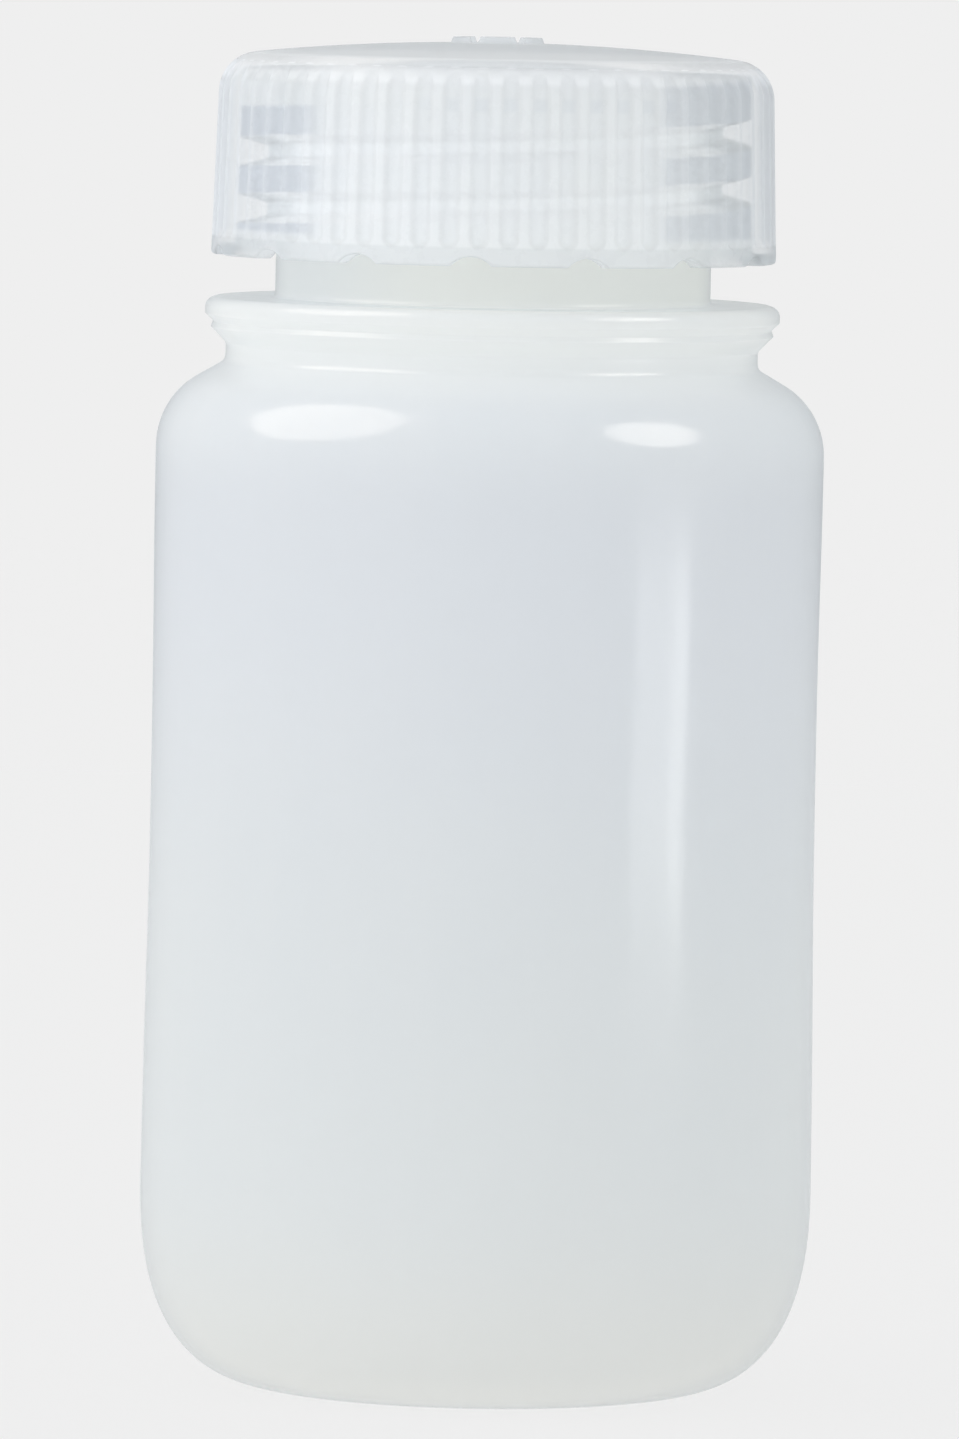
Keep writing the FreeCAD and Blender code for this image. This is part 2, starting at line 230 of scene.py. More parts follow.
BASE_RISE, R_RECESS = 1.5, 12.9         # concave base
R_FOOT, HEEL_POWER = 14.53, 2.46        # outer edge of the standing ring
Z_HEEL, Z_SHOULDER = 14.96, 69.79       # ends of the body wall
BODY_ROWS, ARC_ROWS = 40, 14
R_ARC, ARC_DEG = 6.06, 60.0             # shoulder arc, running into a cone
WALL, SHOULDER_WALL = 1.15, 1.25
R_FLOOR, FLOOR_TOP, FLOOR_DROP = 13.30, 3.0, 1.25
R_NECK, R_BORE, R_SHOULDER_BORE = 16.15, 14.95, 18.5
Z_FLANGE, Z_BORE_STEP, Z_NECK_ROWS = 80.95, 79.55, 84.55
R_RIM_FILLET = 0.38
NECK_THREAD_HEIGHT = 1.65

BASE_RADII = (0.8, 1.6, 2.4, 3.2, 4.0, 4.8, 5.6, 6.4, 7.2, 8.0, 8.7, 9.4, 10.0,
              10.6, 11.1, 11.6, 12.0, 12.4, 12.7)

# Body wall: height, radius
BODY_STATIONS = np.array([
    (14.96, 24.98), (16.5, 24.975), (19.0, 24.96), (25.0, 24.88), (35.0, 24.77),
    (47.0, 24.70), (58.0, 24.76), (65.5, 24.82), (68.3, 24.83), (69.79, 24.83)])

# Shoulder top to neck: radius, height, fillet radius, fillet segments
COLLAR = [
    (19.76, 76.22, 0.70, 5), (19.76, 77.50, 0.40, 4), (20.88, 78.68, 0.14, 3),
    (20.70, 79.10, 0.10, 2), (21.31, 79.66, 0.22, 4), (21.31, Z_FLANGE, 0.85, 9),
    (R_NECK, Z_FLANGE, 0.40, 4)]

# Unevenness of the blown wall: amplitude, waves round, phase, twist per mm
WAVES = ((0.022, 2, 0.7, 0.045), (0.014, 3, 2.1, -0.08),
         (0.007, 5, 0.3, 0.19), (0.006, 4, -1.2, 0.33))


def body_scale(z):
    return (z - 42.0) / 28.0


BODY_FIT = np.polyfit(body_scale(BODY_STATIONS[:, 0]), BODY_STATIONS[:, 1], 5)


def body_radius(z):
    return float(np.polyval(BODY_FIT, body_scale(z)))


def body_row(i):
    return Z_HEEL + (Z_SHOULDER - Z_HEEL) * i / BODY_ROWS


def shoulder_point(radius, i):
    a = math.radians(ARC_DEG * i / ARC_ROWS)
    return (body_radius(Z_SHOULDER) - R_ARC + radius * math.cos(a),
            Z_SHOULDER + radius * math.sin(a))


def bottle_outside():
    """(r, z) from beside the base centre up to just under the rim."""
    points = [(r, BASE_RISE * (1.0 - (r / R_RECESS) ** 3.4) ** 1.6) for r in BASE_RADII]
    points += [(R_RECESS, 0.0), (13.7, 0.0), (R_FOOT, 0.0)]
    points += superellipse(R_FOOT, 0.0, body_radius(Z_HEEL) - R_FOOT, Z_HEEL, HEEL_POWER, 46)[1:]
    for i in range(1, BODY_ROWS + 1):
        points.append((body_radius(body_row(i)), body_row(i)))
    points += [shoulder_point(R_ARC, i) for i in range(1, ARC_ROWS + 1)]
    points += rounded([points[-1], *COLLAR, (R_NECK, Z_NECK_ROWS)], 0.5)[1:]
    z = 84.7
    while z < Z_RIM - 0.40:
        points.append((R_NECK, z))
        z += 0.15
    return points


def bottle_inside():
    """(r, z) over the rim and down to beside the centre of the inner floor."""
    outer, inner = (R_NECK, Z_RIM), (R_BORE, Z_RIM)
    points = fillet((R_NECK, 80.0), outer, inner, R_RIM_FILLET, 5)
    points += fillet(outer, inner, (R_BORE, 80.0), R_RIM_FILLET, 5)
    arc = R_ARC - SHOULDER_WALL
    arc_top = shoulder_point(arc, ARC_ROWS)
    slope = math.tan(math.radians(90.0 - ARC_DEG))
    z_corner = arc_top[1] + (arc_top[0] - R_SHOULDER_BORE) * slope
    points += rounded([
        points[-1],
        (R_BORE, Z_BORE_STEP, 1.10, 6),
        (R_SHOULDER_BORE, Z_BORE_STEP, 0.90, 5),
        (R_SHOULDER_BORE, z_corner, 1.60, 6),
        arc_top], 0.9)[1:]
    points += [shoulder_point(arc, i) for i in range(ARC_ROWS - 1, -1, -1)]
    for i in range(BODY_ROWS - 1, 0, -2):
        z = body_row(i)
        extra = (SHOULDER_WALL - WALL) * smooth((z - 55.0) / 14.0)
        points.append((body_radius(z) - WALL - extra, z))
    z_edge = FLOOR_TOP - FLOOR_DROP
    width = body_radius(Z_HEEL) - WALL - R_FLOOR
    points += superellipse(R_FLOOR, z_edge, width, Z_HEEL - z_edge, 2.60, 28)[::-1]
    points += [(r, FLOOR_TOP - FLOOR_DROP * (r / R_FLOOR) ** 2.6)
               for r in (12.0, 10.6, 9.0, 7.5, 6.0, 4.5, 3.0, 1.5)]
    return points


def outside_radius(r, z):
    """Radii round the outer wall: thread, unevenness and parting line."""
    theta = T_BOTTLE
    r = np.full(len(theta), float(r))
    if z > 84.5:
        r = r + strand(theta, z, **NECK_THREAD) * NECK_THREAD_HEIGHT
    if 8.0 < z < 76.0:
        share = smooth((z - 8.0) / 12.0) * smooth((76.0 - z) / 6.0)
        r = r + share * sum(size * np.sin(count * theta + phase + z * twist)
                            for size, count, phase, twist in WAVES)
    if 2.0 < z < 84.0:
        # fine parting line of the two mould halves, left and right
        line = sum(np.exp(-((np.cos(theta) - side) / 0.00016) ** 2) for side in (1.0, -1.0))
        r = r + line * (0.05 if 78.2 < z < 80.9 else 0.022)
    return r


def base_ridge(r):
    """Depth of the pinch-off ridge, which runs along x under the base."""
    x, y = r * np.cos(T_BOTTLE), r * np.sin(T_BOTTLE)
    return 0.26 * np.exp(-(y / 0.36) ** 2) * smooth((11.2 - np.abs(x)) / 1.2)


def bottle_mesh():
    outside = bottle_outside()
    rings, inner = [axis_point(BASE_RISE)], [np.zeros(1)]
    for i, (r, z) in enumerate(outside + bottle_inside()):
        if i < len(outside):
            r = outside_radius(r, z)
        if i < len(BASE_RADII):
            z = z - base_ridge(r)
        rings.append(ring(T_BOTTLE, r, z))
        # the inside counts from partway over the rim
        inner.append(np.full(len(T_BOTTLE), 0.0 if i < len(outside) + 8 else 1.0))
    rings.append(axis_point(FLOOR_TOP))
    inner.append(np.ones(1))
    obj = build("bottle_shell", rings)
    float_attribute(obj, "inner", inner)
    return obj


# ------------------------------------------------------------------ screw cap
RIBS = 60
T_OUT = angles(RIBS * 15)
T_IN = angles(RIBS * 5)

R_DOME, DOME = 17.70, 0.97              # top face: edge radius and rise
R_SEAT, HOLLOW = 13.80, 0.75            # hollow in the ceiling
Z_CEILING = Z_LINER_HIGH + 0.05
TOP_H, GATE_H = 0.42, 0.12              # raised ring and gate on the top face
TOP_GAPS = 6                            # gaps in the raised ring
# edge of the top face; the raised ring reaches the top of the cap's box
Z_CAP_TOP = cap_high.z * 1000.0 - dome(2.60, R_DOME, DOME) - TOP_H
R_CORNER, Z_CORNER = 3.0, Z_CAP_TOP - 2.99
R_CAP_LOW, R_CAP_HIGH = 20.98, 20.62    # outer skirt
R_IN_LOW, R_IN_HIGH = 19.25, 18.95      # inner skirt
R_THREAD_CREST = 16.90
# grip valleys: cutter radius, depth, radius of their run-out, lower end
RIB_CUT, RIB_DEPTH, RIB_FADE, Z_RIB = 0.78, 0.46, 0.55, 85.60
# arched notches in the lower edge
NOTCHES, NOTCH_W, NOTCH_H, NOTCH_FADE = 15, 3.0, 0.70, 1.3
NOTCH_PHASE = math.radians(-90.0 + 19.4)

CEILING_RADII = (2.0, 4.0, 6.0, 8.0, 10.0, 12.0, 13.2, 13.8, 14.2, 15.5, 17.0, 18.0)

# Lower edge, going outwards: radius, height above Z_CAP
LOWER_EDGE = ((20.62, 0.0), (20.78, 0.01), (20.90, 0.07), (20.965, 0.18), (20.975, 0.34))

# Rows of the outer skirt: heights above Z_CAP, then absolute heights
SKIRT_HEIGHTS = (0.55, 0.8, 1.05, 1.25, 1.34, 1.42, 1.50, 1.58, 1.66, 1.76, 1.86,
                 1.98, 2.12, 2.3, 2.6)
SKIRT_Z = (88.5, 90.5, 92.5, 94.5, Z_CORNER - 0.15)

TOP_RADII = (17.6, 17.2, 16.4, 15.6, 14.6, 13.0, 11.0, 9.0, 7.0, 5.4, 4.4, 3.8, 3.56,
             3.51, 3.46, 3.42, 3.38, 3.33, 3.2, 3.0, 2.8, 2.67, 2.62, 2.58, 2.54, 2.49,
             2.44, 2.2, 1.8, 1.3, 1.02, 0.94, 0.86, 0.78, 0.72, 0.4)


def cap_radius(z):
    return R_CAP_LOW + (R_CAP_HIGH - R_CAP_LOW) * (z - Z_CAP) / (Z_CORNER - Z_CAP)


def valley(r, offset, cut_squared=RIB_CUT ** 2):
    """Depth of the grip valleys: a round cutter whose centre runs offset mm
    outside the surface, with softened crest edges."""
    turns = T_OUT / TAU * RIBS
    x = (turns - np.floor(turns) - 0.5) * TAU / RIBS * r
    return soft_positive(np.sqrt(np.maximum(cut_squared - x ** 2, 0.0)) - offset, 0.035)


def notch(theta, r):
    turns = (theta - NOTCH_PHASE) / TAU * NOTCHES
    x = np.abs(turns - np.round(turns)) * TAU / NOTCHES * r
    radius = (NOTCH_W ** 2 / 4 + NOTCH_H ** 2) / (2 * NOTCH_H)
    depth = np.sqrt(np.maximum(radius ** 2 - x ** 2, 0.0)) - (radius - NOTCH_H)
    return soft_positive(depth, 0.03)


def notch_lift(theta, r, height):
    """Rise of a row at a height above Z_CAP, fading out above the notches."""
    return notch(theta, r) * np.clip(1.0 - height / NOTCH_FADE, 0.0, 1.0)


# The four parts of the cap yield rows of angles, radius, height and relief.
# Relief is the thread's height share inside and the valleys' depth share outside.
def cap_inside():
    for r in CEILING_RADII:
        yield T_IN, r, Z_CEILING + max(0.0, dome(r, R_SEAT, HOLLOW)), 0.0
    for r, z in fillet((0, Z_CEILING), (R_IN_HIGH, Z_CEILING), (R_IN_LOW, Z_CAP), 0.25, 4):
        yield T_IN, r, z, 0.0
    rows = []
    z = Z_CEILING - 0.40
    while z > Z_CAP + 1.1:
        rows.append(z)
        z -= 0.15
    rows += [Z_CAP + 0.9, Z_CAP + 0.6, Z_CAP + 0.35]
    for z in rows:
        r = R_IN_LOW + (R_IN_HIGH - R_IN_LOW) * (z - Z_CAP) / (Z_CEILING - Z_CAP)
        share = strand(T_IN, z, **CAP_THREAD)
        yield (T_IN, r - share * (r - R_THREAD_CREST),
               z + notch_lift(T_IN, r, z - Z_CAP), share)
    for inset, height in ((0.02, 0.12), (0.14, 0.0)):
        yield T_IN, R_IN_LOW + inset, Z_CAP + height + notch(T_IN, R_IN_LOW), 0.0


def cap_skirt():
    for r, height in LOWER_EDGE:
        yield T_OUT, r, Z_CAP + height + notch_lift(T_OUT, 20.5, height), 0.0
    ball_z = Z_RIB + RIB_CUT * 0.7
    for z in [Z_CAP + height for height in SKIRT_HEIGHTS] + list(SKIRT_Z):
        r = cap_radius(z)
        # the valleys end in a ball below the cutter's lowest centre
        cut_squared = RIB_CUT ** 2 - max(ball_z - z, 0.0) ** 2
        depth = valley(r, RIB_CUT - RIB_DEPTH, cut_squared) if cut_squared > 0 else 0.0
        yield T_OUT, r - depth, z + notch_lift(T_OUT, 20.5, z - Z_CAP), depth / RIB_DEPTH


def cap_corner():
    """Rounded corner between skirt and dome, the valleys running out of it."""
    big = sphere_radius(R_DOME, DOME)
    z_sphere = Z_CAP_TOP + DOME - big
    centre_z = Z_CORNER
    for _ in range(40):
        centre_r = cap_radius(centre_z) - R_CORNER
        centre_z = z_sphere + math.sqrt((big - R_CORNER) ** 2 - centre_r * centre_r)
    end = math.degrees(math.atan2(centre_z - z_sphere, centre_r))
    path = R_CORNER + (RIB_CUT - RIB_DEPTH) + RIB_FADE
    for i in range(27):
        angle = math.radians(end * i / 26)
        normal_r, normal_z = math.cos(angle), math.sin(angle)
        r, z = centre_r + R_CORNER * normal_r, centre_z + R_CORNER * normal_z
        offset = math.sqrt(path ** 2 + RIB_FADE ** 2 - 2 * RIB_FADE * path * normal_r) - R_CORNER
        depth = valley(r, offset) if offset < RIB_CUT + 0.1 else 0.0
        # fade the softened edge away on the flat
        depth = depth * float(smooth((end - 26.0 - math.degrees(angle)) / 30.0))
        yield T_OUT, r - depth * normal_r, z - depth * normal_z, depth / RIB_DEPTH


def cap_top():
    """Domed top with the broken raised ring and the gate."""
    sector = TAU / TOP_GAPS
    for r in TOP_RADII:
        raised = float(smooth((r - 2.50) / 0.17) * smooth((3.50 - r) / 0.17))
        from_gap = np.abs(T_IN / sector - np.round(T_IN / sector)) * sector * r
        height = raised * smooth((from_gap - 0.27) / 0.17) * TOP_H
        gate = GATE_H * float(smooth((1.0 - r) / 0.25))
        yield T_IN, r, Z_CAP_TOP + dome(r, R_DOME, DOME) + height + gate, 0.0


def cap_mesh():
    rings, relief = [axis_point(Z_CEILING + HOLLOW)], [np.zeros(1)]
    for theta, r, z, share in itertools.chain(cap_inside(), cap_skirt(), cap_corner(), cap_top()):
        rings.append(ring(theta, r, z))
        relief.append(share + 0.0 * theta)
    rings.append(axis_point(Z_CAP_TOP + DOME + GATE_H))
    relief.append(np.zeros(1))
    obj = build("ribbed_cap", rings)
    float_attribute(obj, "strand", relief)
    return obj


# ---------------------------------------------------------------------- liner
def liner_mesh():
    """Foam disc with the rim's groove pressed into its lower face."""
    theta = angles(240)
    low, high = (R_LINER, Z_LINER_LOW), (R_LINER, Z_LINER_HIGH)
    rows = [(r, Z_LINER_LOW + 0.05 * float(smooth((r - 14.6) / 0.35) * smooth((16.45 - r) / 0.35)))
            for r in (3.0, 6.0, 9.0, 12.0, 14.0, 14.5, 14.7, 14.85, 15.0, 15.5, 16.0, 16.15,
                      16.3, 16.5, 17.2, 18.0)]
    rows += fillet((0, Z_LINER_LOW), low, high, 0.18, 5)
    rows += fillet(low, high, (0, Z_LINER_HIGH), 0.28, 5)
    rows += [(r, Z_LINER_HIGH) for r in (17.0, 14.0, 11.0, 8.0, 5.0, 2.5)]
    rings = [axis_point(Z_LINER_LOW)]
    for r, z in rows:
        if r >= 18.2:
            # slightly uneven cut edge
            r = r - 0.02 + 0.02 * np.sin(9 * theta + 0.4)
        rings.append(ring(theta, r, z))
    rings.append(axis_point(Z_LINER_HIGH))
    return build("foam_liner", rings)


bottle = bottle_mesh()
cap = cap_mesh()
liner = liner_mesh()
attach(bottle, "bottle")
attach(cap, "cap")
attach(liner, "liner")
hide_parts("bottle")
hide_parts("screw_cap")
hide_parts("cap_liner")


# ----------------------------------------------------------------- node tools
class Nodes:
    """Node tree of a material or world, cleared, with short ways to add to it."""

    def __init__(self, owner):
        owner.use_nodes = True
        self.tree = owner.node_tree
        self.tree.nodes.clear()

    def add(self, kind, inputs=None, **settings):
        """New node; an input is a socket to link or a value (colours are RGB)."""
        node = self.tree.nodes.new("ShaderNode" + kind)
        for key, value in settings.items():
            setattr(node, key, value)
        for key, value in (inputs or {}).items():
            socket = node.inputs[key]
            if isinstance(value, bpy.types.NodeSocket):
                self.tree.links.new(value, socket)
            else:
                socket.default_value = (*value, 1.0) if socket.type == "RGBA" else value
        return node

    def coords(self, kind="Object"):
        return self.add("TexCoord").outputs[kind]

    def attribute(self, name):
        return self.add("Attribute", attribute_name=name).outputs["Fac"]

    def xyz(self, vector):
        return self.add("SeparateXYZ", {0: vector}).outputs

    def room_x(self):
        return self.xyz(self.add("NewGeometry").outputs["Position"])[0]

    def facing(self):
        return self.add("LayerWeight", {"Blend": 0.5}).outputs["Facing"]

    def noise(self, vector, scale, detail=3.0, rough=0.5):
        return self.add("TexNoise", {"Vector": vector, "Scale": scale, "Detail": detail,
                                     "Roughness": rough}).outputs["Fac"]

    def stretch(self, vector, scale):
        return self.add("Mapping", {"Vector": vector, "Scale": scale}).outputs["Vector"]

    def ramp(self, fac, stops):
        node = self.add("ValToRGB", {"Fac": fac})
        for element, (position, colour) in zip(node.color_ramp.elements, stops):
            element.position = position
            element.color = (*colour, 1.0)
        return node.outputs["Color"]

    def fade(self, value, over, to=(0.0, 1.0), kind="SMOOTHSTEP"):
        """Goes from to[0] to to[1] while value goes over[0] to over[1]."""
        return self.add("MapRange", {"Value": value, "From Min": over[0], "From Max": over[1],
                                     "To Min": to[0], "To Max": to[1]},
                        interpolation_type=kind).outputs["Result"]

    def math(self, operation, a, b=0.0):
        return self.add("Math", {0: a, 1: b}, operation=operation).outputs[0]

    def times(self, first, *others):
        for other in others:
            first = self.math("MULTIPLY", first, other)
        return first

    def invert(self, value):
        return self.math("SUBTRACT", 1.0, value)

    def radius(self, x, y):
        return self.math("SQRT", self.math("ADD", self.times(x, x), self.times(y, y)))

    def vector(self, operation, a, b=None):
        inputs = {0: a}
        if b is not None:
            inputs["Scale" if operation == "SCALE" else 1] = b
        node = self.add("VectorMath", inputs, operation=operation)
        return node.outputs["Value" if operation == "DOT_PRODUCT" else "Vector"]

    def turn(self, vector, source, target):
        return self.add("VectorTransform", {0: vector}, vector_type="VECTOR",
                        convert_from=source, convert_to=target).outputs[0]

    def tint(self, colour, toward, by, blend="MIX"):
        return self.add("Mix", {0: by, 6: colour, 7: toward}, data_type="RGBA",
                        blend_type=blend).outputs[2]

    def darken_right(self, colour, low):
        """Drops to low towards the side away from the key light, across the
        room's x, not the piece's."""
        share = self.fade(self.room_x(), over=(-0.006, 0.026), to=(1.0, low))
        grey = self.add("CombineColor", {0: share, 1: share, 2: share}).outputs[0]
        return self.tint(colour, toward=grey, by=1.0, blend="MULTIPLY")

    def bump(self, height, strength, distance, normal=None):
        inputs = {"Height": height, "Strength": strength, "Distance": distance}
        if normal is not None:
            inputs["Normal"] = normal
        return self.add("Bump", inputs).outputs["Normal"]

    def emission(self, colour, strength):
        return self.add("Emission", {"Color": colour, "Strength": strength}).outputs[0]

    def glow(self, shader, colour, strength):
        """Painted light: adds a little emission in the plastic's own colour, in place of the many
        scatterings inside a thick wall that the path depth leaves out."""
        return self.add("AddShader", {0: shader, 1: self.emission(colour, strength)}).outputs[0]

    def blend(self, fac, a, b):
        return self.add("MixShader", {0: fac, 1: a, 2: b}).outputs[0]

    def clear(self, shader, share, colour):
        """Lets a share of the light straight through."""
        return self.blend(share, shader, self.add("BsdfTransparent", {"Color": colour}).outputs[0])

    def plastic(self, colour, rough, ior, normal, translucent):
        surface = self.add("BsdfPrincipled", {"Base Color": colour, "Roughness": rough,
                                              "IOR": ior, "Normal": normal})
        through = self.add("BsdfTranslucent", {"Color": colour, "Normal": normal})
        return self.blend(translucent, surface.outputs[0], through.outputs[0])


def paint(obj, name, make_shader):
    material = bpy.data.materials.new(name)
    net = Nodes(material)
    net.add("OutputMaterial", {"Surface": make_shader(net)})
    obj.data.materials.append(material)


# ------------------------------------------------------------ bottle material
def bottle_colour(net, point, z, flow):
    cloud = net.noise(point, scale=38.0, detail=2.0, rough=0.45)
    colour = net.ramp(cloud, [(0.30, (0.905, 0.926, 0.944)), (0.70, (0.925, 0.940, 0.946))])
    colour = net.tint(colour, toward=(0.95, 0.955, 0.96),
                      by=net.fade(flow, over=(0.35, 0.75), to=(0.0, 0.30)))
    # neck: warmer, with painted shade making its left side cooler and darker
    neck = net.fade(z, over=(0.0800, 0.0812))
    colour = net.tint(colour, toward=(0.942, 0.946, 0.908), by=neck)
    left = net.fade(net.room_x(), over=(-0.015, -0.004), to=(0.45, 0.0))
    colour = net.tint(colour, toward=(0.80, 0.83, 0.87), by=net.times(neck, left))
    # collar and flange
    collar = net.times(net.fade(z, over=(0.0730, 0.0765)),
                       net.fade(z, over=(0.0800, 0.0812), to=(1.0, 0.0)))
    colour = net.tint(colour, toward=(0.950, 0.957, 0.947), by=collar)
    # lower body greener, upper body bluer, heel warmer
    colour = net.tint(colour, toward=(0.925, 0.940, 0.925),
                      by=net.fade(z, over=(0.018, 0.062), to=(0.45, 0.0)))
    upper = net.times(net.fade(z, over=(0.035, 0.062), to=(0.0, 0.50)),
                      net.fade(z, over=(0.066, 0.073), to=(1.0, 0.0)))
    colour = net.tint(colour, toward=(0.910, 0.924, 0.960), by=upper)
    heel = net.fade(z, over=(0.0, 0.017), to=(1.0, 0.0))
    colour = net.tint(colour, toward=(0.95, 0.938, 0.895), by=net.times(heel, 0.75))
    # painted shade where the wall is seen aslant, darker towards the outline
    colour = net.tint(colour, toward=(0.70, 0.73, 0.75),
                      by=net.fade(net.facing(), over=(0.60, 1.0), to=(0.0, 0.50)))
    return net.darken_right(colour, low=0.964)


def bottle_shader(net):
    point = net.coords()
    z = net.xyz(point)[2]
    inner = net.attribute("inner")
    flow = net.noise(net.stretch(point, (1.0, 1.0, 0.18)), scale=210.0, rough=0.55)
    fine = net.noise(point, scale=1400.0, rough=0.6)
    colour = bottle_colour(net, point, z, flow)
    rough = net.fade(net.noise(point, scale=700.0, detail=4.0, rough=0.6),
                     over=(0.3, 0.7), to=(0.11, 0.16), kind="LINEAR")
    normal = net.bump(flow, strength=0.09, distance=0.00025)
    normal = net.bump(fine, strength=0.08, distance=0.00006, normal=normal)
    shader = net.plastic(colour, rough, ior=1.50, normal=normal, translucent=0.48)
    # painted light: glow where the wall is thick at the flange and groove, weaker in the neck
    thick = net.times(net.fade(z, over=(0.0660, 0.0760)),
                      net.fade(z, over=(0.0806, 0.0816), to=(1.0, 0.62)))
    shader = net.glow(shader, colour, strength=net.times(thick, 0.072))
    share = net.fade(net.facing(), over=(0.2, 0.95), to=(0.16, 0.05))
    share = net.math("MAXIMUM", share, net.times(inner, 0.80))
    return net.clear(shader, share, colour=(0.97, 0.98, 0.99))


# --------------------------------------------------------------- cap material
def rib_normal(net, normal, outward, fine):
    """Light spreads inside the wall, so the ribs shade more softly than they
    stand: normals lean towards the plain skirt's."""
    outward = net.turn(outward, "OBJECT", "WORLD")
    lean = net.vector("DOT_PRODUCT", normal, outward)
    soft = net.times(net.fade(net.math("ABSOLUTE", lean), over=(0.15, 0.38), to=(0.0, 1.2)),
                     net.math("SIGN", lean))
    push = net.vector("SCALE", outward, net.times(soft, 2.0))
    even = net.vector("NORMALIZE", net.vector("ADD", normal, push))
    return net.bump(fine, strength=0.015, distance=0.00005, normal=even)


def cap_glow(net, z, relief, square, outside, grey, thread):
    # painted light: glow, strongest where the skirt faces the viewer, weaker on the painted grey
    # parts
    strength = net.times(net.fade(square, over=(0.45, 0.90), to=(0.040, 0.146)),
                         net.invert(net.times(grey, 0.95)))
    strength = net.math("ADD", strength, thread)
    # painted highlight: glow in the rounded top end of each rib
    tip_highlight = net.times(outside, net.fade(relief, over=(0.05, 0.50), to=(0.11, 0.0)),
                    net.times(net.fade(z, over=(0.0971, 0.0976)),
                              net.fade(z, over=(0.0981, 0.0987), to=(1.0, 0.0))))
    return net.math("ADD", strength, tip_highlight)


def cap_clear(net, facing, square, inside, on_thread, gap_shade, top):
    """Share of light let straight through."""
    outer = net.times(net.fade(square, over=(0.62, 0.85), to=(0.58, 0.35)),
                      net.fade(square, over=(0.05, 0.34), to=(0.25, 1.0)),
                      net.invert(net.times(top, 0.7)))
    inner = net.math("SUBTRACT", 0.50, net.times(net.math("ADD", on_thread, gap_shade), 0.42))
    # the far side of the skirt is all but lost in the front wall's haze
    rear = net.times(net.fade(facing, over=(-0.25, -0.05), to=(0.85, 0.0)), net.invert(top))
    outer = net.math("MAXIMUM", outer, rear)
    inner = net.math("MAXIMUM", inner, rear)
    return net.add("Mix", {0: inside, 2: outer, 3: inner}, data_type="FLOAT").outputs[0]


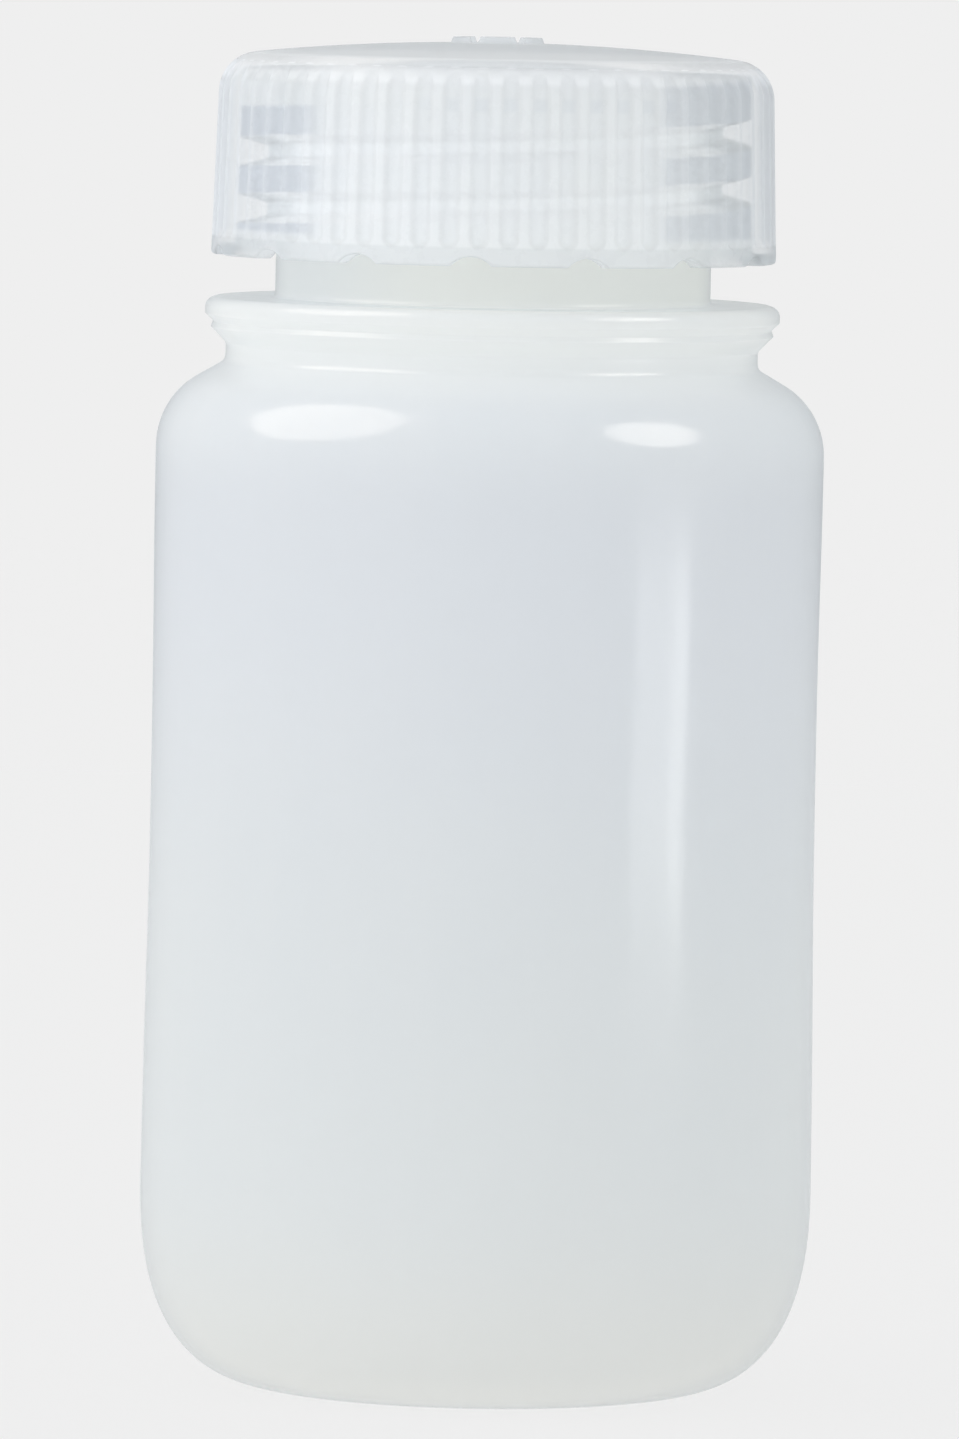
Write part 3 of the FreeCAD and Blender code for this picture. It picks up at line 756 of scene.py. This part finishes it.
def cap_shader(net):
    point = net.coords()
    x, y, z = net.xyz(point)
    cloud = net.noise(point, scale=90.0, detail=2.0)
    fine = net.noise(net.stretch(point, (1.0, 1.0, 0.25)), scale=1500.0, rough=0.6)
    relief = net.attribute("strand")
    # how squarely the skirt faces the viewer here, whatever its ribs do
    outward = net.vector("NORMALIZE", net.vector("MULTIPLY", point, (1.0, 1.0, 0.0)))
    geometry = net.add("NewGeometry").outputs
    viewer = net.turn(geometry["Incoming"], "WORLD", "OBJECT")
    facing = net.vector("DOT_PRODUCT", outward, viewer)
    square = net.math("ABSOLUTE", facing)
    front = net.fade(facing, over=(0.05, 0.15))
    colour = net.ramp(cloud, [(0.3, (0.925, 0.94, 0.965)), (0.7, (0.945, 0.955, 0.965))])

    # inside wall: denser on the thread with painted glow, clearer between, with painted shade
    # greying the gaps
    r = net.radius(x, y)
    inside = net.fade(r, over=(0.01930, 0.01945), to=(1.0, 0.0), kind="LINEAR")
    low = net.fade(z, over=(0.0858, 0.0862), kind="LINEAR")
    high = net.fade(net.math("SUBTRACT", z, net.times(x, 0.069)), over=(0.0963, 0.0966),
                    to=(1.0, 0.0), kind="LINEAR")
    on_thread = net.fade(relief, over=(0.002, 0.03))
    between = net.times(net.invert(on_thread), net.times(inside, net.times(low, high)))
    # painted shade: seen aslant, the gaps between the turns are painted as grey blue blocks
    slant = net.fade(net.math("SUBTRACT", square, net.times(x, 2.2)), over=(0.705, 0.765),
                     to=(1.0, 0.12))
    gap_shade = net.times(between, slant, front)
    colour = net.tint(colour, toward=(0.56, 0.61, 0.70),
                      by=net.times(gap_shade, net.fade(x, over=(-0.012, 0.012), to=(0.76, 0.53))))
    # painted shade on the thread where it is seen edge on, with nothing behind it to hold the
    # light back
    fin_shade = net.times(on_thread, inside, front, net.fade(square, over=(0.38, 0.56), to=(1.0, 0.0)))
    colour = net.tint(colour, toward=(0.70, 0.74, 0.78), by=net.times(fin_shade, 0.45))
    # painted shade: the top face is darkened, most so at a glance, less on the raised ring and
    # gate
    above = net.xyz(geometry["Incoming"])[2]
    top = net.times(net.fade(z, over=(0.0990, 0.0992), kind="LINEAR"),
                    net.fade(r, over=(0.0036, 0.0040), to=(0.30, 1.0), kind="LINEAR"),
                    net.fade(above, over=(0.12, 0.45), to=(1.0, 0.42)))
    colour = net.tint(colour, toward=(0.70, 0.725, 0.745), by=net.times(top, 0.76))
    colour = net.darken_right(colour, low=0.950)

    # painted shade in the valleys, so the ribs read lighter than the valleys between them
    outside = net.invert(inside)
    valley_shade = net.times(outside, net.fade(relief, over=(0.15, 0.95), to=(0.0, 0.13)),
                        net.fade(z, over=(0.0875, 0.0955), to=(0.55, 1.0)))
    colour = net.tint(colour, toward=(0.66, 0.69, 0.73), by=valley_shade)
    # painted shade: a dark patch where each valley runs out, towards the right
    right = net.times(net.fade(x, over=(-0.009, -0.002)),
                      net.times(net.fade(square, over=(0.70, 0.80)), front))
    runout_shade = net.times(net.fade(z, over=(0.0952, 0.0956)),
                     net.fade(z, over=(0.0961, 0.0966), to=(1.0, 0.0)),
                     net.times(outside, net.fade(relief, over=(0.25, 1.0), to=(0.0, 0.15)), right))
    colour = net.tint(colour, toward=(0.55, 0.60, 0.70), by=runout_shade)
    # painted shade on the skirt where it is seen aslant
    colour = net.tint(colour, toward=(0.72, 0.76, 0.81), by=net.times(
        outside, net.fade(square, over=(0.12, 0.50), to=(0.30, 0.0))))
    # plain band at the lower edge, greyer, with painted shade darkening it further towards its
    # sides
    band_grey_and_shade = net.times(net.fade(z, over=(0.0854, 0.0856), to=(1.0, 0.0), kind="LINEAR"),
                     net.fade(square, over=(0.30, 0.62), to=(1.0, 0.36)))
    colour = net.tint(colour, toward=(0.62, 0.65, 0.67), by=net.times(band_grey_and_shade, 0.60))

    grain = net.fade(net.noise(point, scale=900.0, rough=0.6), over=(0.3, 0.7),
                     to=(0.24, 0.32), kind="LINEAR")
    dull = net.math("MAXIMUM", net.fade(square, over=(0.20, 0.55), to=(0.22, 0.0)),
                    net.times(top, 0.16))
    rough = net.math("ADD", grain, dull)
    normal = rib_normal(net, geometry["Normal"], outward, fine)
    shader = net.plastic(colour, rough, ior=1.49, normal=normal, translucent=0.48)
    grey = net.math("MAXIMUM", net.math("MAXIMUM", gap_shade, top), net.times(band_grey_and_shade, 0.6))
    # painted light: the thread, the thickest plastic here, glows where it's seen aslant
    thread = net.times(on_thread, inside, front,
                       net.times(slant, net.fade(square, over=(0.55, 0.72), to=(1.0, 0.65)),
                                 net.fade(square, over=(0.37, 0.47), to=(0.0, 0.15))))
    shader = net.glow(shader, colour, cap_glow(net, z, relief, square, outside, grey, thread))
    share = cap_clear(net, facing, square, inside, on_thread, gap_shade, top)
    return net.clear(shader, share, colour=(0.97, 0.98, 0.985))


# ------------------------------------------------------------- liner material
def liner_shader(net):
    point = net.coords()
    cell = net.add("TexVoronoi", {"Vector": point, "Scale": 2600.0}).outputs["Distance"]
    soft = net.noise(point, scale=260.0)
    colour = net.ramp(soft, [(0.3, (0.86, 0.86, 0.845)), (0.7, (0.90, 0.90, 0.89))])
    colour = net.tint(colour, toward=(0.70, 0.70, 0.68),
                      by=net.fade(cell, over=(0.0, 0.5), to=(0.18, 0.0)))
    normal = net.bump(cell, strength=0.25, distance=0.00005)
    rough = net.fade(soft, over=(0.3, 0.7), to=(0.62, 0.78), kind="LINEAR")
    return net.plastic(colour, rough, ior=1.45, normal=normal, translucent=0.18)


paint(bottle, "milky_polyolefin", bottle_shader)
paint(cap, "clear_polypropylene", cap_shader)
paint(liner, "closed_cell_foam", liner_shader)

# ---------------------------------------------------------------------- floor
BACKDROP = (0.863, 0.863, 0.863)


def floor_shader(net):
    """Pale and mostly self-lit near the bottle, fading to nothing further out."""
    point = net.coords()
    x, y, _ = net.xyz(point)
    away = net.fade(net.radius(x, y), over=(0.35, 1.3))
    soft = net.noise(point, scale=900.0, detail=2.0)
    colour = net.ramp(soft, [(0.3, (0.945, 0.945, 0.945)), (0.7, (0.955, 0.955, 0.955))])
    matt = net.add("BsdfDiffuse", {"Color": colour}).outputs[0]
    near = net.blend(0.90, matt, net.emission(BACKDROP, strength=1.0))
    return net.blend(away, near, net.add("BsdfTransparent").outputs[0])


def floor():
    rings = [axis_point(0.0)]
    rings += [ring(angles(96), r, 0.0) for r in (60.0, 120.0, 240.0, 480.0, 900.0, 1400.0)]
    obj = build("studio_floor", rings)
    paint(obj, "pale_floor", floor_shader)


floor()

# ---------------------------------------------------------------------- world
LIGHT_STRENGTH, SHINE_STRENGTH = 0.885, 0.50    # for all rays, for glossy rays
LEFT_LIGHT, RIGHT_LIGHT = (1.045, 1.045, 1.055), (0.865, 0.885, 0.89)


def studio_world():
    """Light tinted from left to right, with a plain backdrop for the camera."""
    world = bpy.data.worlds.new("studio")
    bpy.context.scene.world = world
    net = Nodes(world)

    def background(colour, strength):
        return net.add("Background", {"Color": colour, "Strength": strength}).outputs[0]

    ray = net.add("LightPath").outputs
    x = net.xyz(net.coords("Generated"))[0]
    tint = net.ramp(net.fade(x, over=(-1.0, 1.0)), [(0.0, LEFT_LIGHT), (1.0, RIGHT_LIGHT)])
    light = net.blend(ray["Is Glossy Ray"], background(tint, LIGHT_STRENGTH),
                      background(tint, SHINE_STRENGTH))
    seen = net.blend(ray["Is Camera Ray"], light, background(BACKDROP, 1.0))
    net.add("OutputWorld", {"Surface": seen})


studio_world()


# --------------------------------------------------------------------- lights
def area(name, azimuth, elevation, distance, size, power, colour, aim_z=0.05,
         diffuse=False, glossy=True, roll=0.0, shape="RECTANGLE"):
    """Soft box at an azimuth (0 is the camera side, + is to the right)."""
    azimuth, elevation = math.radians(azimuth), math.radians(elevation)
    aim = Vector((0, 0, aim_z))
    location = Vector((math.sin(azimuth) * math.cos(elevation),
                       -math.cos(azimuth) * math.cos(elevation),
                       math.sin(elevation))) * distance
    location += aim
    data = bpy.data.lights.new(name, "AREA")
    data.shape = shape
    data.size, data.size_y = size
    data.energy = power
    data.color = colour
    obj = bpy.data.objects.new(name, data)
    obj.location = location
    face = (aim - location).to_track_quat("-Z", "Y")
    obj.rotation_euler = (face @ Quaternion((0.0, 0.0, 1.0), math.radians(roll))).to_euler()
    obj.visible_camera = False
    obj.visible_diffuse = diffuse
    obj.visible_glossy = glossy
    bpy.context.scene.collection.objects.link(obj)


area("key_left", azimuth=-75.0, elevation=43.0, distance=0.9, size=(0.84, 0.78), power=9.3,
     colour=(1.0, 0.90, 0.79), roll=20.0, shape="ELLIPSE")
area("key_right", azimuth=67.0, elevation=37.5, distance=0.9, size=(0.50, 0.49), power=5.2,
     colour=(1.0, 0.93, 0.86), shape="ELLIPSE")
area("strip_right", azimuth=61.0, elevation=0.0, distance=0.34, size=(0.125, 0.030),
     power=0.050, colour=(1.0, 1.0, 1.0), aim_z=0.029)
area("strip_edge", azimuth=68.0, elevation=0.0, distance=0.34, size=(0.040, 0.028),
     power=0.014, colour=(1.0, 1.0, 1.0), aim_z=0.029)
area("fill_left", azimuth=-78.0, elevation=12.0, distance=1.2, size=(0.6, 0.9), power=2.4,
     colour=(0.99, 0.99, 1.0), diffuse=True, glossy=False)

# --------------------------------------------------------------------- camera
CAMERA_PLACE, CAMERA_AIM = (0.0, -0.9832, 0.1153), (0.0, 0.0, 0.0492)
CAMERA_ROLL = math.radians(1.123)

cam_data = bpy.data.cameras.new("camera")
cam_data.lens = 331.1
cam_data.sensor_width = 36.0
cam_data.sensor_fit = "AUTO"
cam_data.clip_start = 0.05
cam_data.clip_end = 20.0
cam_data.shift_x = -0.0033773454
cam_data.shift_y = 0.0051772064
cam = bpy.data.objects.new("camera", cam_data)
cam.location = CAMERA_PLACE
look = (Vector(CAMERA_AIM) - Vector(CAMERA_PLACE)).to_track_quat("-Z", "Y")
cam.rotation_mode = "QUATERNION"
cam.rotation_quaternion = look @ Quaternion((0.0, 0.0, 1.0), CAMERA_ROLL)
bpy.context.scene.collection.objects.link(cam)
bpy.context.scene.camera = cam

# --------------------------------------------------------------------- render
scene = bpy.context.scene
scene.view_settings.view_transform = "Standard"
scene.view_settings.look = "None"
scene.cycles.max_bounces = 12
scene.cycles.diffuse_bounces = 5
scene.cycles.use_adaptive_sampling = True
scene.cycles.adaptive_threshold = 0.04
scene.cycles.glossy_bounces = 4
scene.cycles.transmission_bounces = 8
scene.cycles.transparent_max_bounces = 16
scene.cycles.caustics_reflective = False
scene.cycles.caustics_refractive = False
scene.cycles.sample_clamp_indirect = 6.0
